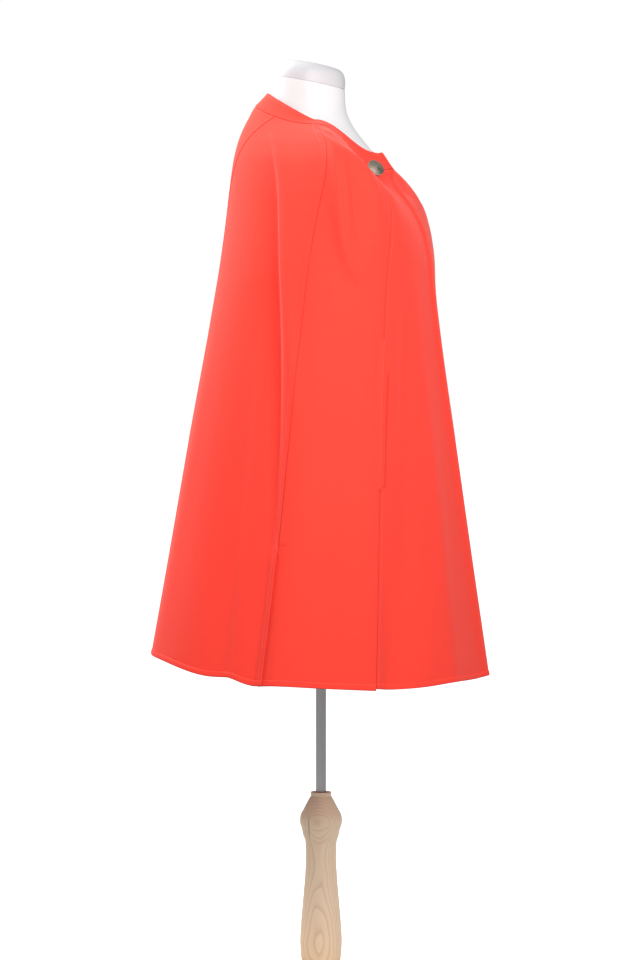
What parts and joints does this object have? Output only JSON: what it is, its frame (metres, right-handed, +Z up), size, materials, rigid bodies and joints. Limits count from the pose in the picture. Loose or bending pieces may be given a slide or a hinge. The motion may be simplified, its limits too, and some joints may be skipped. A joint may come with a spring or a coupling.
{
  "type": "cape on a dress form",
  "caption": "Collarless knee-length wool cape with a neckband, front seams with arm slits, side vents and one metal button, on a limbless dress form with a pole, turned wooden column and round base.",
  "frame": {"origin": "centre of the underside of the round base, on the floor and under the pole's axis", "axes": "+Z up along the pole, -Y the way the cape and the form face, -X the wearer's right side"},
  "size_m": [0.7236, 0.4829, 1.3865],
  "materials": {
    "wool": "double-faced coral-red wool, soft short nap",
    "button_metal": "grey-bronze, turned brush marks",
    "form_cover": "smooth white jersey cover",
    "neck_cap": "satin off-white",
    "pole_steel": "drawn grey steel",
    "pine": "turned pine, sanded and oiled"
  },
  "bodies": {
    "root": {"cape_front_right": "wool", "cape_front_left": "wool", "cape_side_front_right": "wool", "cape_side_front_left": "wool", "cape_side_back_right": "wool", "cape_side_back_left": "wool", "cape_back": "wool", "neckband_front_right": "wool", "neckband_front_left": "wool", "neckband_back": "wool", "button_right": "button_metal", "form_torso": "form_cover", "form_neck_cap": "neck_cap", "stand_pole": "pole_steel", "stand_column": "pine", "stand_base": "pine"}
  },
  "joints": []
}
